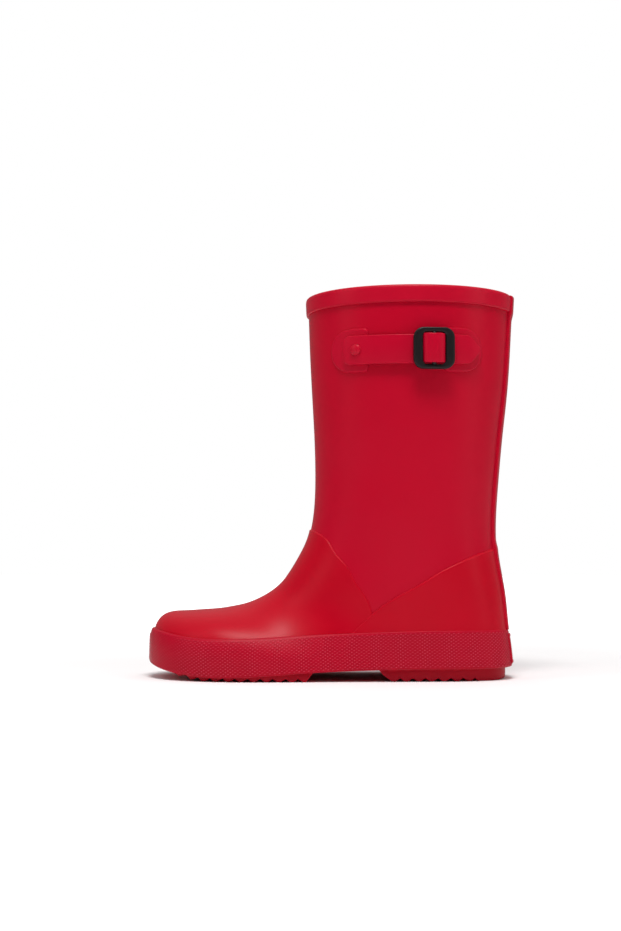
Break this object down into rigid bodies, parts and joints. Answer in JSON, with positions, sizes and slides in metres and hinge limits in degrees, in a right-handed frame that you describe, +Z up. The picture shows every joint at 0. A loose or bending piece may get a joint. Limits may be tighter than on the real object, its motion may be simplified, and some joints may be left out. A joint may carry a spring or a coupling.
{
  "type": "child's rain boot",
  "caption": "Pull-on moulded rain boot for a child's left foot, with raised toe and heel layers, a knurled sole band, saw-tooth tread and a strap with a square buckle that slides.",
  "frame": {"origin": "on the ground, on the flat of the heel tooth under the middle of the heel", "axes": "+Z up, toe toward -X, outer side with the buckle toward -Y"},
  "size_m": [0.1816, 0.0832, 0.188],
  "materials": {
    "upper_pvc": "satin",
    "rim_pvc": "satin",
    "band_pvc": "knurled, matte",
    "sole_pvc": "matte",
    "strap_pvc": "satin",
    "rivet_nylon": "satin",
    "washer_steel": "satin",
    "buckle_plastic": "semi-gloss",
    "board": "pressed fibre",
    "foam": "matte",
    "cloth": "knitted"
  },
  "bodies": {
    "boot": {"shaft_shell": "upper_pvc", "vamp_overlay": "upper_pvc", "heel_counter": "upper_pvc", "back_stay": "upper_pvc", "rim_band": "rim_pvc", "foxing_band": "band_pvc", "heel_label": "band_pvc", "outsole": "sole_pvc", "heel_block": "sole_pvc", "insole_board": "board", "insole": "foam", "insole_topcloth": "cloth", "strap": "strap_pvc", "strap_patch_front": "strap_pvc", "strap_patch_rear": "strap_pvc", "strap_rivet": "rivet_nylon", "rivet_washer": "washer_steel"},
    "slider": {"buckle": "buckle_plastic"}
  },
  "joints": [
    {"name": "buckle_slide", "type": "hinge", "parent": "boot", "child": "slider", "pos_m": [-0.015, 0.02816, 0.1604], "axis": [0, -0.0523, 0.9986], "range_deg": [-12, 1.5], "deforming": ["strap"]}
  ]
}
